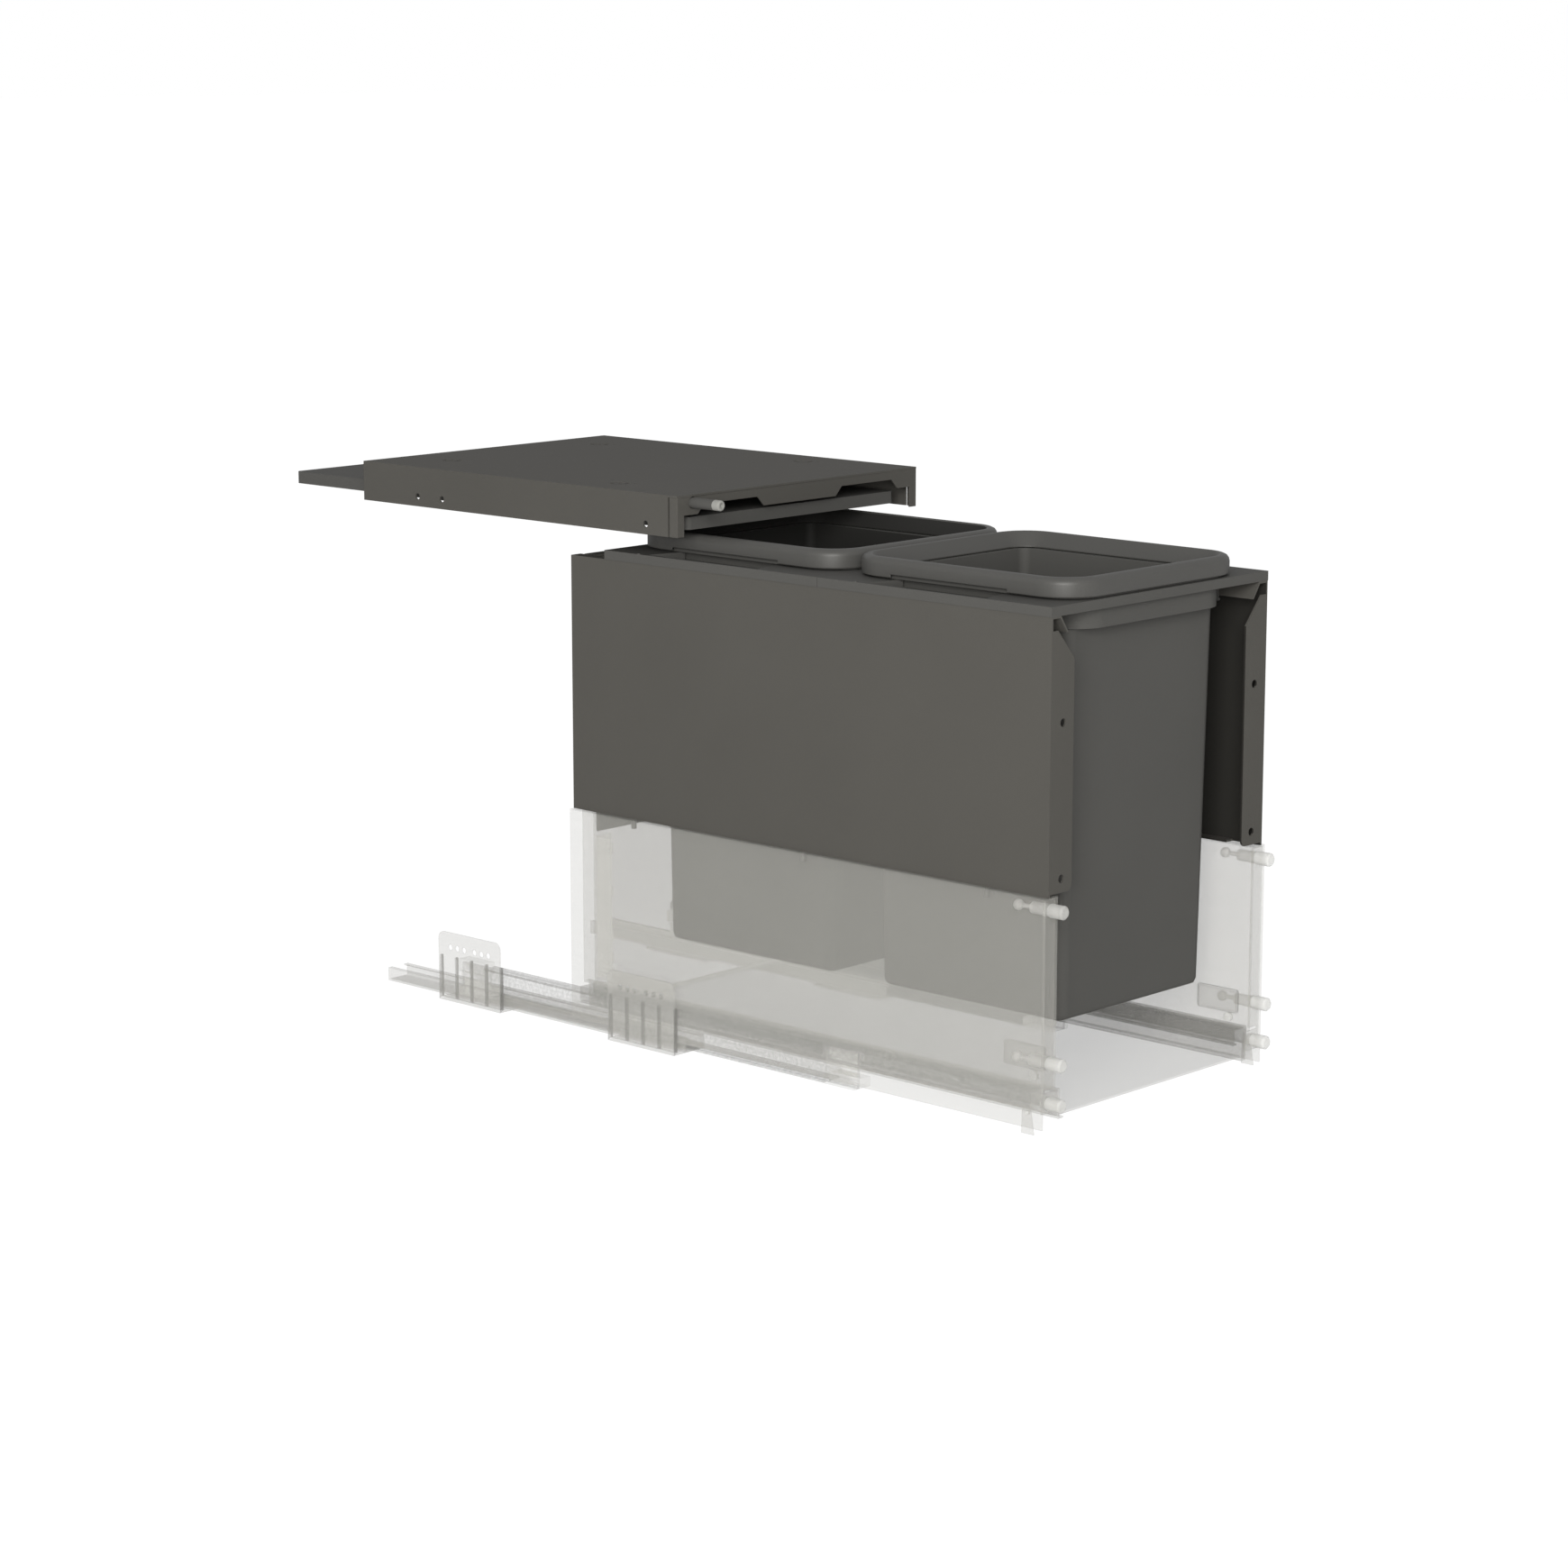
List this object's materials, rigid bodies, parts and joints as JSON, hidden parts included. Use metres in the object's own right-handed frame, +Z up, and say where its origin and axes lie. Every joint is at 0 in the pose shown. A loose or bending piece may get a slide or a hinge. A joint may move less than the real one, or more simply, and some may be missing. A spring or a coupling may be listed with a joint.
{
  "type": "pull-out waste sorter",
  "caption": "Narrow pull-out waste sorter for a base cabinet: lift-out bins with bag frames in a runner-mounted drawer, under a fixed cover with a lowering lid.",
  "frame": {"origin": "middle of the cabinet's width, at the plane of its front edges, level with the underside of the wall brackets", "axes": "+Y from the cabinet's front to its back, against the pull; +X to the right as a user faces the cabinet; +Z up"},
  "size_m": [0.267, 0.812, 0.4254],
  "materials": {
    "dark_sheet": "satin powder coat",
    "dark_plastic": "fine-grained moulding",
    "bright_steel": null,
    "soft_tip": "soft pale rubber",
    "zinc_steel": null,
    "pale_plastic": null,
    "pale_drawer": null
  },
  "bodies": {
    "cabinet": {"cover_shelf": "dark_sheet", "cover_front_frame": "dark_sheet", "lid_guide_screws": "bright_steel", "damper_body": "dark_plastic", "runner_rail_left": "zinc_steel", "runner_rail_right": "zinc_steel", "bracket_front_left": "zinc_steel", "bracket_front_right": "zinc_steel", "bracket_rear_left": "zinc_steel", "bracket_rear_right": "zinc_steel", "rail_rivets_left": "zinc_steel", "rail_rivets_right": "zinc_steel"},
    "drawer": {"drawer_member_left": "zinc_steel", "drawer_member_right": "zinc_steel", "drawer_side_left": "pale_drawer", "drawer_side_right": "pale_drawer", "drawer_floor": "pale_drawer", "drawer_back": "pale_drawer", "back_bracket_left": "zinc_steel", "back_bracket_right": "zinc_steel", "front_connector_left": "zinc_steel", "front_connector_right": "zinc_steel", "front_plugs_left": "bright_steel", "front_plugs_right": "bright_steel", "adjuster_cover_left": "pale_plastic", "adjuster_cover_right": "pale_plastic", "adjuster_screw_left": "bright_steel", "adjuster_screw_right": "bright_steel", "catch_pin_left": "bright_steel", "catch_pin_right": "bright_steel", "carrier_side_left": "dark_sheet", "carrier_side_right": "dark_sheet", "carrier_back": "dark_sheet", "carrier_screws_left": "dark_sheet", "carrier_screws_right": "dark_sheet", "tray_front": "dark_plastic", "tray_back": "dark_plastic"},
    "middle_left": {"middle_member_left": "zinc_steel", "middle_glides_left": "pale_plastic"},
    "middle_right": {"middle_member_right": "zinc_steel", "middle_glides_right": "pale_plastic"},
    "lid": {"lid_plate": "dark_plastic", "lid_bushes": "dark_plastic"},
    "plunger": {"damper_plunger": "dark_plastic", "damper_tip": "soft_tip"},
    "front_bin": {"bin_front": "dark_plastic"},
    "back_bin": {"bin_back": "dark_plastic"},
    "front_frame": {"bag_frame_front": "dark_plastic"},
    "back_frame": {"bag_frame_back": "dark_plastic"},
    "catch_left": {"catch_lever_left": "pale_plastic"},
    "catch_right": {"catch_lever_right": "pale_plastic"}
  },
  "joints": [
    {"name": "drawer_slide", "type": "slide", "parent": "cabinet", "child": "drawer", "axis": [0, -1, 0], "range_m": [-0.346, 0.114]},
    {"name": "middle_left_slide", "type": "slide", "parent": "cabinet", "child": "middle_left", "axis": [0, -1, 0], "range_m": [-0.173, 0.057]},
    {"name": "middle_right_slide", "type": "slide", "parent": "cabinet", "child": "middle_right", "axis": [0, -1, 0], "range_m": [-0.173, 0.057]},
    {"name": "damper_push", "type": "slide", "parent": "cabinet", "child": "plunger", "axis": [0, 1, 0], "range_m": [0, 0.0125], "stiffness_N_per_m": 600, "springref_m": -0.02},
    {"name": "lid_lower", "type": "slide", "parent": "cabinet", "child": "lid", "axis": [0, 0, -1], "range_m": [0, 0.005]},
    {"name": "front_bin_lift", "type": "slide", "parent": "drawer", "child": "front_bin", "axis": [0, 0, 1], "range_m": [0, 0.32]},
    {"name": "back_bin_lift", "type": "slide", "parent": "drawer", "child": "back_bin", "axis": [0, 0, 1], "range_m": [0, 0.005]},
    {"name": "front_frame_lift", "type": "slide", "parent": "front_bin", "child": "front_frame", "axis": [0, 0, 1], "range_m": [0, 0.06]},
    {"name": "back_frame_lift", "type": "slide", "parent": "back_bin", "child": "back_frame", "axis": [0, 0, 1], "range_m": [0, 0.005]},
    {"name": "catch_left_turn", "type": "hinge", "parent": "drawer", "child": "catch_left", "pos_m": [-0.1284, -0.333, 0.02], "axis": [1, 0, 0], "range_deg": [-15, 15]},
    {"name": "catch_right_turn", "type": "hinge", "parent": "drawer", "child": "catch_right", "pos_m": [0.1284, -0.333, 0.02], "axis": [1, 0, 0], "range_deg": [-15, 15]}
  ],
  "couplings": [
    {"joint": "middle_left_slide", "follows": "drawer_slide", "ratio": 0.5},
    {"joint": "middle_right_slide", "follows": "drawer_slide", "ratio": 0.5},
    {"joint": "lid_lower", "follows": "damper_push", "ratio": 0.4}
  ]
}
